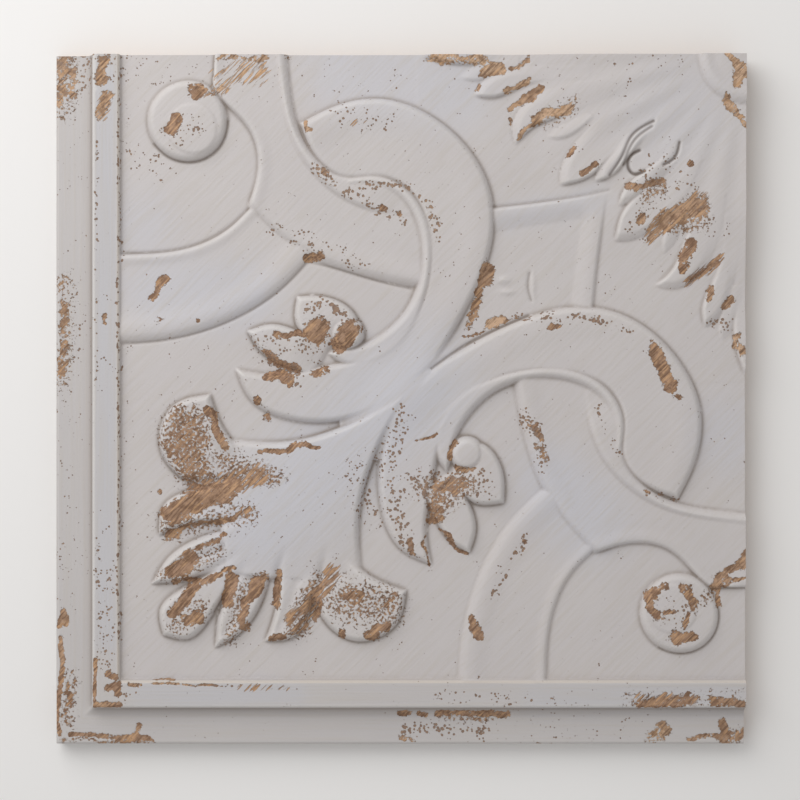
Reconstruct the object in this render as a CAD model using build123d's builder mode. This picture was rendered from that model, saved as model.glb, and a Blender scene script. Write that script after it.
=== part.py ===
"""Carved wooden wall panel: one board with a stepped border on two sides and a scroll-and-leaf relief.

The panel lies on its back with the carving up. The origin is the middle of the back face, +Z is the way the
carving faces, and the border runs along the -X and -Y sides. The +X and +Y sides are cut plain, so that the
rosette and the ribbons can run on into a neighbour of the same set. The carving is alike on both sides of the
diagonal from the bordered corner to the plain one, so it is drawn below that line and mirrored.
"""

import os
from math import cos, radians, sin

from build123d import *

# Board and border, in millimetres
panel_side = 400.0
edge_thickness = 12.0
field_height = 16.0
rim_height = 20.0
ledge_width = 22.0
cove_radius = 6.5
strip_width = 16.0
edge_round = 0.8

# Heights of the carved forms above the field
strap_rise = 1.8
stem_rise = 3.0
ribbon_rise = 4.0
ribbon_bead_rise = 5.2
scroll_rise = 5.0
scroll_bead_rise = 6.2
volute_rise = 4.6
eye_rise = 6.6
bud_rise = 6.0
bud_eye_rise = 7.0
leaf_rise = 6.0
leaf_crown_rise = 9.0
lobe_rise = 6.0
flute_rise = 3.0
rosette_rise = 6.5
boss_rise = 7.5

# Bevels of their upper edges, the most of a rise that one may take, and how far the forms go into the board
band_bevel = 2.0
bead_bevel = 2.2
strap_bevel = 1.0
lobe_bevel = 2.0
bevel_limit = 0.8
root_depth = 2.0

# The carving is drawn for a field of this side, and is scaled to the field that the border leaves. Its points are
# measured left and down from the plain corner, where the rosette has its centre. Ends of an outline's curves that
# are further apart than the closing gap are joined by a straight line
drawn_field = 362.0
closing_gap = 0.001

# Bands below the diagonal. Each outline is a ring of smooth curves, joined end to end
stem = [
    [(167, 365), (166, 345), (157, 307), (138, 272), (110, 244)],
    [(86, 286), (100, 300), (112, 327), (115, 365)],
]
ribbon = [
    [(134, 193), (130, 215), (122, 242), (107, 269), (88, 289)],
    [(88, 289), (74, 284.5), (59, 283), (44, 287.5), (33, 297), (20, 309)],
    [(20, 309), (-6, 308)],
    [(-6, 268), (22, 266), (50, 259), (74, 240), (86, 218), (89, 193)],
]
ribbon_bead = [
    [(-6, 274.5), (20, 271.5), (47, 264), (69, 250.5), (87, 228), (95, 204)],
    [(84, 204), (76, 228), (61, 248), (40, 259), (19, 263), (-6, 265)],
]
scroll = [
    [(178, 178), (155, 165), (132, 154.5), (107, 144.5), (80, 146)],
    [(80, 146), (54, 160), (34, 183), (24.5, 210), (29, 238), (39, 258)],
    [(39, 258), (59, 250), (73, 232), (73, 210), (82, 194), (100, 186)],
    [(100, 186), (125, 185), (148, 192), (166, 208), (176, 228), (181, 252), (184, 276), (181, 296)],
    [(181, 296), (200, 287), (212, 262), (213, 238), (200, 200)],
]
scroll_bead = [
    [(164, 194), (150, 186.5), (125, 180), (97, 181.5), (78, 193), (69, 212), (72, 231)],
    [(79, 230), (78, 216), (84, 201), (100, 191), (125, 189), (148, 198), (160, 210), (167, 223)],
]
volute_centre = (38, 323.5)
volute_radius = 24.5
eye_centre = (42.5, 320.5)
eye_radius = 17.0

# Bud: two petals beside the scroll's tail, and a round eye at the neck
bud_petals = [
    [
        [(188, 250), (179, 271), (171, 282), (159.5, 289)],
        [(159.5, 289), (155.5, 274), (160, 258), (168, 240)],
    ],
    [
        [(172, 248), (155, 261), (139.5, 260)],
        [(139.5, 260), (140, 242), (150, 226), (166, 222)],
    ],
]
bud_eye_centre = (161.5, 231)
bud_eye_radius = 10.5

# Corner leaf: its middle as far as the diagonal, three lobes below it and half of the lobe on it
leaf_edge = [
    [(190, 190), (210, 224), (223, 264), (222, 300)],
    [(222, 300), (250, 306), (280, 304), (302, 302)],
]
leaf_lobes = [
    [
        [(240, 272), (219, 300), (196, 310)],
        [(196, 310), (202, 330.5), (227, 340), (246, 326), (254, 292)],
    ],
    [
        [(246, 284), (250, 316), (262, 338), (279, 340)],
        [(279, 340), (272.5, 320), (274, 284)],
    ],
    [
        [(272, 286), (280, 318), (292, 335), (307.5, 344)],
        [(307.5, 344), (305, 322), (294, 286)],
    ],
]
middle_lobe_edge = [
    [(287, 294), (308, 325), (322, 339), (337, 337)],
]
leaf_crown = [(320, 320), (184, 184), 62]

# Strap: a flat frame with hollow sides, its corner towards the rosette
strap_edge = [
    [(95.5, 95.5), (99, 120), (104, 154)],
    [(104, 154), (89, 154)],
    [(89, 154), (84, 110), (78, 78)],
]

# Rosette about the plain corner: bearing from the top edge, foot, tip and width of each petal
rosette_petals = [
    [88.0, 66, 178, 18],
    [81.3, 58, 163, 19],
    [68.3, 52, 145, 23],
    [55.3, 48, 134, 22],
    [48.3, 48, 114, 14],
]
rosette_centre = (0, 0)
petal_crest = 0.3
flute_radius = 92.0
boss_radius = 33.0

# Worked out from the sizes above
half_side = panel_side / 2
field_side = panel_side - ledge_width - strip_width
field_edge = half_side - field_side
scale = field_side / drawn_field
diagonal = Plane(origin=(0, 0, 0), x_dir=(0, 0, 1), z_dir=(1, -1, 0))


def at(left, down):
    """Place on the panel of a point of the drawing."""
    return (half_side - left * scale, half_side - down * scale)


def curve(points):
    """Smooth line through points of the drawing, or a straight one through two."""
    placed = [at(left, down) for left, down in points]
    return Spline(*placed) if len(placed) > 2 else Line(*placed)


def both_sides(edges):
    """A whole outline from the half that lies below the diagonal."""
    return edges + [[(down, left) for left, down in reversed(points)] for points in reversed(edges)]


def raised(outline, rise, bevel):
    """Flat-topped form on the field, inside an outline, with its curved upper edges bevelled."""
    with BuildPart() as form:
        with BuildSketch(Plane.XY.offset(field_height - root_depth)):
            with BuildLine():
                curves = [curve(points) for points in outline]
                for first, second in zip(curves, curves[1:] + curves[:1]):
                    if (first @ 1 - second @ 0).length > closing_gap:
                        Line(first @ 1, second @ 0)
            make_face()
        extrude(amount=root_depth + rise)
        upper_edges = form.faces().sort_by(Axis.Z)[-1].edges().filter_by(GeomType.BSPLINE)
        chamfer(upper_edges, length=min(bevel, bevel_limit * rise))
    return form.part


def button(centre, radius, rise, bevel):
    """Round form on the field with a bevelled upper edge."""
    with BuildPart() as form:
        with BuildSketch(Plane.XY.offset(field_height - root_depth)):
            with Locations(at(*centre)):
                Circle(radius * scale)
        extrude(amount=root_depth + rise)
        chamfer(form.faces().sort_by(Axis.Z)[-1].edges(), length=min(bevel, bevel_limit * rise))
    return form.part


def crown(foot, tip, width, rise):
    """Long swelling, pointed at both ends and sunk in the field: an arc turned about its chord."""
    start = Vector(*at(*foot))
    reach = Vector(*at(*tip)) - start
    girth = width * scale / 2
    spine = Plane(
        origin=(start.X, start.Y, field_height + rise - girth),
        x_dir=reach,
        z_dir=(0, 0, 1),
    )
    with BuildPart() as form:
        with BuildSketch(spine):
            with BuildLine():
                ThreePointArc((0, 0), (reach.length / 2, girth), (reach.length, 0))
                Line((reach.length, 0), (0, 0))
            make_face()
        revolve(axis=Axis(spine.origin, spine.x_dir))
    return form.part


def petal(bearing, foot, tip, width, rise):
    """Rosette petal: a pointed oval that draws in towards its crest."""
    turn = radians(bearing)
    with BuildPart() as form:
        for height, share in ((-root_depth, 1.0), (rise, petal_crest)):
            oval = Plane(
                origin=(half_side, half_side, field_height + height),
                x_dir=(-cos(turn), -sin(turn), 0),
                z_dir=(0, 0, 1),
            )
            middle = (foot + tip) / 2
            reach = (tip - foot) / 2 * (1 + share) / 2
            with BuildSketch(oval):
                with BuildLine():
                    start = ((middle - reach) * scale, 0)
                    end = ((middle + reach) * scale, 0)
                    side = width / 2 * share * scale
                    ThreePointArc(start, (middle * scale, side), end)
                    ThreePointArc(end, (middle * scale, -side), start)
                make_face()
        loft(ruled=True)
    return form.part


with BuildPart() as half_carving:
    add(raised(stem, stem_rise, band_bevel))
    add(raised(ribbon, ribbon_rise, band_bevel))
    add(raised(ribbon_bead, ribbon_bead_rise, bead_bevel))
    add(raised(scroll, scroll_rise, band_bevel))
    add(raised(scroll_bead, scroll_bead_rise, bead_bevel))
    add(button(volute_centre, volute_radius, volute_rise, band_bevel))
    add(button(eye_centre, eye_radius, eye_rise, band_bevel))
    for bud_petal in bud_petals:
        add(raised(bud_petal, bud_rise, band_bevel))
    add(button(bud_eye_centre, bud_eye_radius, bud_eye_rise, band_bevel))
    for lobe in leaf_lobes:
        add(raised(lobe, lobe_rise, lobe_bevel))
    for bearing, foot, tip, width in rosette_petals:
        add(petal(bearing, foot, tip, width, rosette_rise))

with BuildPart() as carved_panel:
    # Board at the height of the flat strip, with a coved ledge cut along two sides
    with BuildSketch():
        Rectangle(panel_side, panel_side)
    extrude(amount=rim_height)
    for border_plane in (Plane.XZ, Plane.YZ):
        with BuildSketch(border_plane):
            with BuildLine():
                cove_start = (-half_side + ledge_width - cove_radius, edge_thickness)
                cove_end = (-half_side + ledge_width, edge_thickness + cove_radius)
                above = edge_thickness + cove_radius + rim_height
                Line((-half_side, edge_thickness), cove_start)
                TangentArc(cove_start, cove_end, tangent=(1, 0))
                Polyline(cove_end, (cove_end[0], above), (-half_side, above), (-half_side, edge_thickness))
            make_face()
        extrude(amount=half_side, both=True, mode=Mode.SUBTRACT)
    # Field, sunk inside the strip and open at the plain sides
    with BuildSketch(Plane.XY.offset(field_height)):
        with Locations((field_edge, field_edge)):
            Rectangle(field_side, field_side, align=(Align.MIN, Align.MIN))
    extrude(amount=rim_height, mode=Mode.SUBTRACT)
    strip_edges = carved_panel.edges().group_by(Axis.Z)[-1].sort_by(SortBy.LENGTH)[-4:]
    fillet(strip_edges, radius=edge_round)
    # Carving
    add(half_carving.part)
    mirror(half_carving.part, about=diagonal)
    add(raised(both_sides(strap_edge), strap_rise, strap_bevel))
    add(raised(both_sides(leaf_edge), leaf_rise, band_bevel))
    add(raised(both_sides(middle_lobe_edge), lobe_rise, lobe_bevel))
    add(crown(*leaf_crown, leaf_crown_rise))
    add(button(rosette_centre, flute_radius, flute_rise, band_bevel))
    add(button(rosette_centre, boss_radius, boss_rise, band_bevel))
    # The plain sides and the back cut off what runs past them
    with BuildSketch():
        Rectangle(panel_side, panel_side)
    extrude(amount=field_height + rim_height, mode=Mode.INTERSECT)

carved_panel.part.label = "carved_panel"
os.makedirs("parts", exist_ok=True)
export_step(carved_panel.part, "parts/carved_panel.step")
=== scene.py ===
"""Looks of a carved wooden wall panel: border, scrolls, corner leaf and quarter rosette under worn paint.

The relief is worked out as a height map in millimetres, with x to the right and y up from the bordered
corner. The carving is drawn below the diagonal from that corner and mirrored about it, then drifted a little
as a hand does.
"""

import logging
import math
from collections.abc import Sequence
from dataclasses import dataclass, field, replace
from enum import Enum

import bmesh
import bpy
import numpy as np
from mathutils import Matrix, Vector


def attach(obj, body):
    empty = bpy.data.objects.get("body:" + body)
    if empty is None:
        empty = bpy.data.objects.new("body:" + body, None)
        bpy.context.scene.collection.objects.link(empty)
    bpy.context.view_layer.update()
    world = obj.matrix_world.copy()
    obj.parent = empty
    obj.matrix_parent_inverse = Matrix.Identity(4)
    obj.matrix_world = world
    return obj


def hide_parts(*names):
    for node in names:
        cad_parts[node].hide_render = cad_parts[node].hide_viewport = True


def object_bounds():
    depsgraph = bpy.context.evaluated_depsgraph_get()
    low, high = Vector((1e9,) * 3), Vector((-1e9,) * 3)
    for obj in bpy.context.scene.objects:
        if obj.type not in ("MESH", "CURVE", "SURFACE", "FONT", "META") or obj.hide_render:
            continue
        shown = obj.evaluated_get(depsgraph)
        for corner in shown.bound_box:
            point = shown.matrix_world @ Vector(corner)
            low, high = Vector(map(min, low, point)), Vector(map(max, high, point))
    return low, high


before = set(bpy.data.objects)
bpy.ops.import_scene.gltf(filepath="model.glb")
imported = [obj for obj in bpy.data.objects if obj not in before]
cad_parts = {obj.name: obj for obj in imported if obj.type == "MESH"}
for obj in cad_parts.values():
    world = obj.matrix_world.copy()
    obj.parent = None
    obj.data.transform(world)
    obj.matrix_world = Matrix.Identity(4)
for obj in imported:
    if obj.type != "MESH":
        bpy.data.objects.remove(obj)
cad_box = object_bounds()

Point = tuple[float, float]
Line = Sequence[Point]
Outline = tuple[Line, ...]
Grid = np.ndarray
Window = tuple[slice, slice]
Colour = tuple[float, float, float, float]
Tree = bpy.types.NodeTree
Socket = bpy.types.NodeSocket

MM = 0.001
# Keeps a division or a place on the grid within its range
TINY = 1e-6
# Height of a form outside its outline, where what is carved already stays
BELOW = -1.0
# Paleness of bare wood where a worn place doesn't say otherwise
WOOD_TONE = 0.27
# Length of one wave of Blender's wave texture at a scale of 1
WAVE_LENGTH = 0.314
log = logging.getLogger("carved_panel")


def linear(hex_colour: str) -> Colour:
    """Turn an sRGB hex colour into linear values.

    Args:
        hex_colour: Six hex digits, such as "C8C2C0".

    Returns:
        Linear red, green and blue, and an alpha of 1.
    """
    shares = [int(hex_colour[i : i + 2], 16) / 255 for i in (0, 2, 4)]
    light = [s / 12.92 if s <= 0.04045 else ((s + 0.055) / 1.055) ** 2.4 for s in shares]
    return (light[0], light[1], light[2], 1.0)


def add_node(
    tree: Tree, kind: str, inputs: dict | None = None, out: str | int = 0, **settings: object
) -> Socket | None:
    """Add one node with its settings and its links.

    Args:
        tree: The node tree that gets the node.
        kind: Blender's name for the kind of node, without "ShaderNode" before it.
        inputs: Value or linked output for each input, by name or number.
        out: Name or number of the output that is used.
        settings: The node's own properties.

    Returns:
        That output, or None if the node has no outputs.
    """
    node = tree.nodes.new("ShaderNode" + kind)
    for name, value in settings.items():
        setattr(node, name, value)
    for key, value in (inputs or {}).items():
        if isinstance(value, bpy.types.NodeSocket):
            tree.links.new(value, node.inputs[key])
        else:
            node.inputs[key].default_value = value
    return node.outputs[out] if node.outputs else None


def new_material(name: str) -> bpy.types.Material:
    """A material with an empty node tree."""
    material = bpy.data.materials.new(name)
    material.use_nodes = True
    material.node_tree.nodes.clear()
    return material


def put_in_scene(name: str, data: bpy.types.ID) -> bpy.types.Object:
    """A new object in the scene, from its mesh, lamp or camera."""
    thing = bpy.data.objects.new(name, data)
    bpy.context.scene.collection.objects.link(thing)
    return thing


def smooth_line(points: Line, step: float = 1.5) -> Grid:
    """Run a natural cubic spline through points.

    Args:
        points: Places that the line goes through, in millimetres.
        step: Distance between the places returned.

    Returns:
        Places along the line, one a row.
    """
    knots = np.array(points, float)
    gaps = np.hypot(*np.diff(knots, axis=0).T)
    along = np.concatenate([[0.0], np.cumsum(gaps)])
    count = len(knots)
    matrix, slopes = np.eye(count), np.zeros((count, 2))
    for i in range(1, count - 1):
        matrix[i, i - 1 : i + 2] = gaps[i - 1], 2 * (gaps[i - 1] + gaps[i]), gaps[i]
        slopes[i] = 6 * ((knots[i + 1] - knots[i]) / gaps[i] - (knots[i] - knots[i - 1]) / gaps[i - 1])
    bend = np.linalg.solve(matrix, slopes)
    where = np.linspace(0, along[-1], max(2, int(along[-1] / step) + 1))
    i = np.clip(np.searchsorted(along, where, side="right") - 1, 0, count - 2)
    gap = gaps[i][:, None]
    after = (where - along[i])[:, None]
    before = gap - after
    return (
        (bend[i] * before**3 + bend[i + 1] * after**3) / (6 * gap)
        + (knots[i] / gap - bend[i] * gap / 6) * before
        + (knots[i + 1] / gap - bend[i + 1] * gap / 6) * after
    )


def ring_of(outline: Outline) -> Grid:
    """Join the smooth curves of an outline into one closed ring of places."""
    return np.vstack([smooth_line(points) for points in outline])


def mirrored(outline: Outline) -> Outline:
    """The same outline on the other side of the diagonal."""
    return tuple([(y, x) for x, y in reversed(points)] for points in reversed(outline))


def shoulder(depth: Grid, width: float) -> Grid:
    """Rounded edge: 0 at the outline, 1 from a given width inside it."""
    return 1 - (1 - np.clip(depth / width, 0, 1)) ** 2


def hump(distance: Grid, at: float, spread: float) -> Grid:
    """Soft swelling at a given distance from an edge."""
    return np.exp(-(((distance - at) / spread) ** 2))


def ease(value: Grid, low: float, high: float) -> Grid:
    """Smooth step from 0 to 1 between two values."""
    share = np.clip((value - low) / (high - low), 0, 1)
    return share * share * (3 - 2 * share)


def blend_up(low: Grid, high: Grid, soft: float) -> Grid:
    """The higher of two surfaces, with the corner between them filled over a soft width."""
    share = np.clip(0.5 + (high - low) / (2 * soft), 0, 1)
    return low * (1 - share) + high * share + soft * share * (1 - share)


@dataclass
class HeightMap:
    """Square grid over the panel, with the geometry that the carved forms are measured by."""

    side: float = 400.0
    steps: int = 640
    blur_reach: float = 3.0
    x: Grid = field(init=False)
    y: Grid = field(init=False)

    def __post_init__(self) -> None:
        """Lay out the grid."""
        marks = np.linspace(0, self.side, self.steps + 1)
        self.x, self.y = np.meshgrid(marks, marks)

    @property
    def pitch(self) -> float:
        """Distance between two points of the grid."""
        return self.side / self.steps

    def window(self, places: Grid, margin: float) -> Window:
        """Rows and columns of the grid that lie round some places.

        Args:
            places: Places, one a row.
            margin: How far the window goes past them.

        Returns:
            Slices for the rows and the columns.
        """
        low = np.floor((places.min(0) - margin) / self.pitch).astype(int)
        high = np.ceil((places.max(0) + margin) / self.pitch).astype(int) + 1
        low, high = np.clip(low, 0, self.steps), np.clip(high, 1, self.steps + 1)
        return slice(low[1], high[1]), slice(low[0], high[0])

    def away(self, place: Point, part: Window) -> Grid:
        """Distance from the points of a window to one place."""
        return np.hypot(self.x[part] - place[0], self.y[part] - place[1])

    def distance(self, line: Grid, part: Window) -> Grid:
        """Distance from the points of a window to a line.

        Args:
            line: Places along the line.
            part: The window.

        Returns:
            Distances in millimetres.
        """
        x, y = self.x[part], self.y[part]
        nearest = np.full(x.shape, np.inf)
        for (ax, ay), (bx, by) in zip(line[:-1], line[1:]):
            dx, dy = bx - ax, by - ay
            span = max(dx * dx + dy * dy, TINY)
            share = np.clip(((x - ax) * dx + (y - ay) * dy) / span, 0, 1)
            np.minimum(nearest, (x - ax - share * dx) ** 2 + (y - ay - share * dy) ** 2, out=nearest)
        return np.sqrt(nearest)

    def depth(self, ring: Grid, part: Window) -> Grid:
        """Distance inside a closed ring, below 0 outside it.

        Args:
            ring: Places round the ring.
            part: The window.

        Returns:
            Signed distances in millimetres.
        """
        x, y = self.x[part], self.y[part]
        closed = np.vstack([ring, ring[:1]])
        inside = np.zeros(x.shape, bool)
        for (ax, ay), (bx, by) in zip(closed[:-1], closed[1:]):
            if ay != by:
                inside ^= ((ay > y) != (by > y)) & (x < ax + (y - ay) * (bx - ax) / (by - ay))
        away = self.distance(closed, part)
        return np.where(inside, away, -away)

    def blurred(self, values: Grid, spread: float) -> Grid:
        """Smooth a grid of values.

        Args:
            values: One value for each point of the grid.
            spread: Spread of the blur in millimetres.

        Returns:
            The smoothed values.
        """
        pad = int(self.blur_reach * spread / self.pitch) + 1
        wide = np.pad(values, pad, mode="edge")
        turns = [np.fft.fftfreq(n, self.pitch) for n in wide.shape]
        fade = [np.exp(-2 * (math.pi * spread * t) ** 2) for t in turns]
        soft = np.fft.ifft2(np.fft.fft2(wide) * fade[0][:, None] * fade[1][None, :]).real
        return soft[pad:-pad, pad:-pad]

    def sample(self, values: Grid, x: Grid, y: Grid) -> Grid:
        """Read a grid of values between its points.

        Args:
            values: One value for each point of the grid.
            x: Places to the right.
            y: Places up.

        Returns:
            The values there.
        """
        column = np.clip(x / self.pitch, 0, self.steps - TINY)
        row = np.clip(y / self.pitch, 0, self.steps - TINY)
        i, j = row.astype(int), column.astype(int)
        v, u = row - i, column - j
        low = values[i, j] * (1 - u) + values[i, j + 1] * u
        high = values[i + 1, j] * (1 - u) + values[i + 1, j + 1] * u
        return low * (1 - v) + high * v


@dataclass(frozen=True)
class Noise:
    """Smooth seeded noise over the panel: its spread, the size of its lumps in millimetres and its seed."""

    amount: float
    grain: float
    seed: int

    def over(self, grid: HeightMap) -> Grid:
        """Noise for each point of a grid."""
        draw = np.random.default_rng(self.seed).standard_normal(grid.x.shape)
        soft = grid.blurred(draw, self.grain / 2)
        return self.amount * (soft / soft.std())


@dataclass
class Border:
    """Stepped border along two sides: a ledge with a cove, a flat strip and the sunk field."""

    edge_height: float = 12.0
    field_height: float = 16.0
    strip_height: float = 20.0
    ledge_width: float = 22.0
    cove_radius: float = 6.5
    strip_width: float = 16.0
    edge_round: float = 1.0

    @property
    def width(self) -> float:
        """Width of ledge and strip together."""
        return self.ledge_width + self.strip_width

    def profile(self, inward: Grid) -> Grid:
        """Height of the board at a distance from the bordered edge.

        Args:
            inward: Distances from the edge in millimetres.

        Returns:
            Heights above the back.
        """
        cove_start = self.ledge_width - self.cove_radius
        into_cove = np.clip(inward - cove_start, 0, self.cove_radius)
        cove = self.cove_radius - np.sqrt(np.maximum(self.cove_radius**2 - into_cove**2, 0))
        ledge = self.edge_height - self.edge_round * (1 - shoulder(inward, self.edge_round)) + cove
        into_strip = np.minimum(inward - self.ledge_width, self.width - inward)
        strip = self.strip_height - self.edge_round * (1 - shoulder(into_strip, self.edge_round))
        height = np.where(inward < self.ledge_width, ledge, strip)
        return np.where(inward < self.width, height, self.field_height)


@dataclass(frozen=True)
class Roll:
    """Soft swelling or cut along a line: its height or depth, its distance from the line and its spread."""

    height: float
    at: float
    spread: float

    def over(self, distance: Grid) -> Grid:
        """Its height or depth at given distances from the line."""
        return self.height * hump(distance, self.at, self.spread)


@dataclass(frozen=True)
class Band:
    """Raised band between two edges, with a roll along each."""

    left: Line
    right: Line
    base: float
    left_roll: Roll
    right_roll: Roll
    left_round: float = 5.5
    right_round: float = 2.6
    soft: float = 0.25

    def heights(self, grid: HeightMap, part: Window) -> Grid:
        """Heights of the band above the field.

        Args:
            grid: The grid of the panel.
            part: The window to work in.

        Returns:
            Heights in millimetres, falling to 0 at the two edges.
        """
        to_left = grid.distance(smooth_line(self.left), part)
        to_right = grid.distance(smooth_line(self.right), part)
        rise = self.base + self.left_roll.over(to_left) + self.right_roll.over(to_right)
        return rise * (shoulder(to_left, self.left_round) * shoulder(to_right, self.right_round))


@dataclass(frozen=True)
class Sink:
    """Place near which a form lies lower, fading between two distances."""

    x: float
    y: float
    near: float
    far: float
    depth: float

    def lower(self, grid: HeightMap, part: Window) -> Grid:
        """How much lower the form lies in a window of the grid."""
        return self.depth * (1 - ease(grid.away((self.x, self.y), part), self.near, self.far))


@dataclass(frozen=True)
class Section:
    """Section of a form: its height, the width of its rounded edge and the crown that it gains further in.

    A form is also blended softly into what lies below, and it lies lower near its sinks.
    """

    rise: float
    width: float
    crown: float = 0.0
    soft: float = 0.25
    sinks: tuple[Sink, ...] = ()
    crown_widths: float = 4.0

    def heights(self, grid: HeightMap, part: Window, depth: Grid) -> Grid:
        """Heights of the form above the field.

        Args:
            grid: The grid of the panel.
            part: The window to work in.
            depth: How far inside the form's outline each point lies.

        Returns:
            Heights in millimetres.
        """
        full = self.rise - sum(sink.lower(grid, part) for sink in self.sinks)
        crown = self.crown * shoulder(depth, self.crown_widths * self.width)
        return full * shoulder(depth, self.width) + crown


@dataclass
class Carving:
    """The carved forms on the field, drawn below the diagonal and mirrored.

    A pair of values says where a form begins to ease in or out, and where it has done so.
    """

    grid: HeightMap
    rise: Grid = field(init=False)
    cut_shade: Grid = field(init=False)
    margin: float = 3.0

    # Flat frame behind the scrolls, hollow along its inner side
    # Its small marks have a place, a length, a width and a rise
    strap: Outline = (
        [(304.5, 304.5), (301, 280), (296, 246)],
        [(296, 246), (311, 246)],
        [(311, 246), (316, 290), (322, 322)],
    )
    strap_section: Section = Section(1.9, 2.4)
    strap_hollow: tuple[float, float] = (-2.0, 10.0)
    strap_marks: tuple[tuple[float, float, float, float, float], ...] = (
        (260, 270, 2.2, 4.0, 1.2),
        (262, 263, 1.8, 4.4, 1.0),
        (277, 266, 9.0, 1.6, 0.7),
    )
    mark_margin: float = 12.0

    # Stems from the strips, the ribbons across them, and the beads along the ribbons
    stem: Outline = (
        [(233, 35), (234, 55), (243, 93), (262, 128), (290, 156)],
        [(314, 114), (300, 100), (288, 73), (285, 35)],
    )
    stem_base: float = 1.5
    stem_rolls: tuple[Roll, Roll] = (Roll(1.2, 8, 7), Roll(0.7, 3.4, 2.8))
    ribbon: Outline = (
        [(264, 217), (270, 185), (278, 158), (293, 131), (312, 111)],
        [(312, 111), (326, 115.5), (341, 117), (356, 112.5), (367, 103), (380, 91)],
        [(380, 91), (406, 92)],
        [(406, 132), (378, 134), (350, 141), (326, 160), (314, 182), (310, 215)],
    )
    ribbon_base: float = 2.5
    ribbon_rolls: tuple[Roll, Roll] = (Roll(0.9, 7, 6), Roll(0.6, 4, 3.4))
    ribbon_bead: Outline = (
        [(406, 125.5), (380, 128.5), (353, 135), (331, 148), (314, 168), (306.5, 188), (303, 208)],
        [(316, 213), (327, 197), (331, 180), (332, 166), (341, 153), (358, 142), (381, 137), (406, 135)],
    )
    ribbon_bead_section: Section = Section(
        4.4, 5.2, soft=0.6, sinks=(Sink(306, 203, 2, 26, 1.6), Sink(410, 128, 5, 75, 1.1))
    )

    # Broad scrolls, raised towards the outer side, with a bead along the inner one
    scroll: Outline = (
        [(222, 222), (245, 235), (268, 246.5), (293, 254), (320, 253), (346, 240), (366, 217), (375.5, 190),
         (371, 162), (361, 142)],
        [(361, 142), (341, 150), (327, 168), (327, 190), (318, 206), (300, 214)],
        [(300, 214), (275, 215), (252, 208), (234, 192), (224, 172), (219, 148), (216, 124), (219, 104)],
        [(219, 104), (200, 113), (188, 138), (187, 162), (200, 200)],
    )
    scroll_section: Section = Section(4.0, 4.2)
    scroll_roll: Roll = Roll(0.9, 9.0, 9.0)
    scroll_bead: Outline = (
        [(227, 158), (220, 167), (219, 180), (225, 195), (236, 206), (252, 214), (275, 220), (300, 219),
         (320, 208), (331, 189), (329, 168)],
        [(322, 168), (322.5, 184), (316, 199), (300, 209), (275, 211), (252, 202), (240, 190), (233, 177),
         (231, 165)],
    )
    scroll_bead_section: Section = Section(5.1, 4.6, soft=0.9, sinks=(Sink(228, 164, 12, 70, 1.1),))

    # Volutes at the ends of the ribbons, each with an eye, and buds beside the scrolls' tails
    # A round form has a centre and a radius
    volute: tuple[float, float, float] = (362.0, 76.5, 23.5)
    volute_section: Section = Section(4.0, 4.5, 0.6)
    eye: tuple[float, float, float] = (357.5, 79.5, 17.0)
    eye_section: Section = Section(4.7, 4.0, 0.9)
    bud_petals: tuple[Outline, ...] = (
        (
            [(212, 150), (221, 129), (229, 118), (240.5, 111)],
            [(240.5, 111), (244.5, 126), (240, 142), (232, 160)],
        ),
        (
            [(228, 152), (245, 139), (260.5, 140)],
            [(260.5, 140), (260, 158), (250, 174), (234, 178)],
        ),
    )
    bud_section: Section = Section(4.6, 3.4, 1.0, 0.6, (Sink(222, 162, 6, 26, 3.4),))
    bud_eye: tuple[float, float, float] = (238.5, 169.0, 10.5)
    bud_eye_section: Section = Section(5.6, 4.5, 1.4)

    # Corner leaf: a middle that swells along the diagonal, lobes round it, and creases between the lobes
    # The lobes have a vein and a sunk root, by near, far and depth, and the one on the diagonal only the root
    leaf: Outline = (
        [(210, 210), (190, 176), (177, 136), (178, 100)],
        [(178, 100), (150, 94), (120, 96), (98, 98)],
    )
    leaf_margin: float = 12.0
    leaf_base: float = 3.8
    leaf_least: float = 2.6
    leaf_swell: Roll = Roll(2.5, 168.0, 52.0)
    leaf_fall: float = 2.2
    leaf_half_width: float = 42.0
    leaf_round: float = 4.0
    leaf_soft: float = 1.0
    lobes: tuple[Outline, ...] = (
        (
            [(160, 128), (181, 100), (204, 90)],
            [(204, 90), (198, 69.5), (173, 60), (154, 74), (146, 108)],
        ),
        (
            [(154, 116), (150, 84), (138, 62), (121, 60)],
            [(121, 60), (127.5, 80), (126, 116)],
        ),
        (
            [(128, 114), (120, 82), (108, 65), (92.5, 56)],
            [(92.5, 56), (95, 78), (106, 114)],
        ),
    )
    lobe_spines: tuple[Line, ...] = (
        [(158, 112), (176, 90), (186, 74)],
        [(143, 112), (138, 88), (130, 67)],
        [(118, 110), (110, 86), (99, 65)],
    )
    lobe_section: Section = Section(5.2, 4.0, soft=0.8)
    lobe_root: tuple[float, float, float] = (2.0, 30.0, 3.0)
    lobe_vein: Roll = Roll(0.9, 0.0, 3.0)
    vein_start: float = 5.0
    middle_lobe: Outline = ([(113, 106), (92, 75), (78, 61), (63, 63)],)
    middle_section: Section = Section(5.2, 4.0, soft=0.8, sinks=(Sink(112, 112, 2, 34, 3.0),))
    leaf_creases: tuple[Line, ...] = (
        [(153, 78), (154, 100), (164, 132)],
        [(127, 82), (130, 104), (142, 128)],
        [(95, 78), (106, 98), (122, 118)],
    )
    crease: Roll = Roll(2.2, 0.0, 2.4)
    crease_fade: tuple[float, float] = (0.1, 0.8)
    crease_above: float = 1.0

    # Smooth trunk where the scrolls and the leaf flow together
    trunk_from: Point = (165.0, 165.0)
    trunk_to: Point = (250.0, 250.0)
    trunk_middle: float = 201.0
    trunk_half_length: float = 24.0
    trunk_half_width: float = 20.0
    trunk_height: float = 5.6
    trunk_fall: float = 2.6
    trunk_soft: float = 2.0

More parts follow.
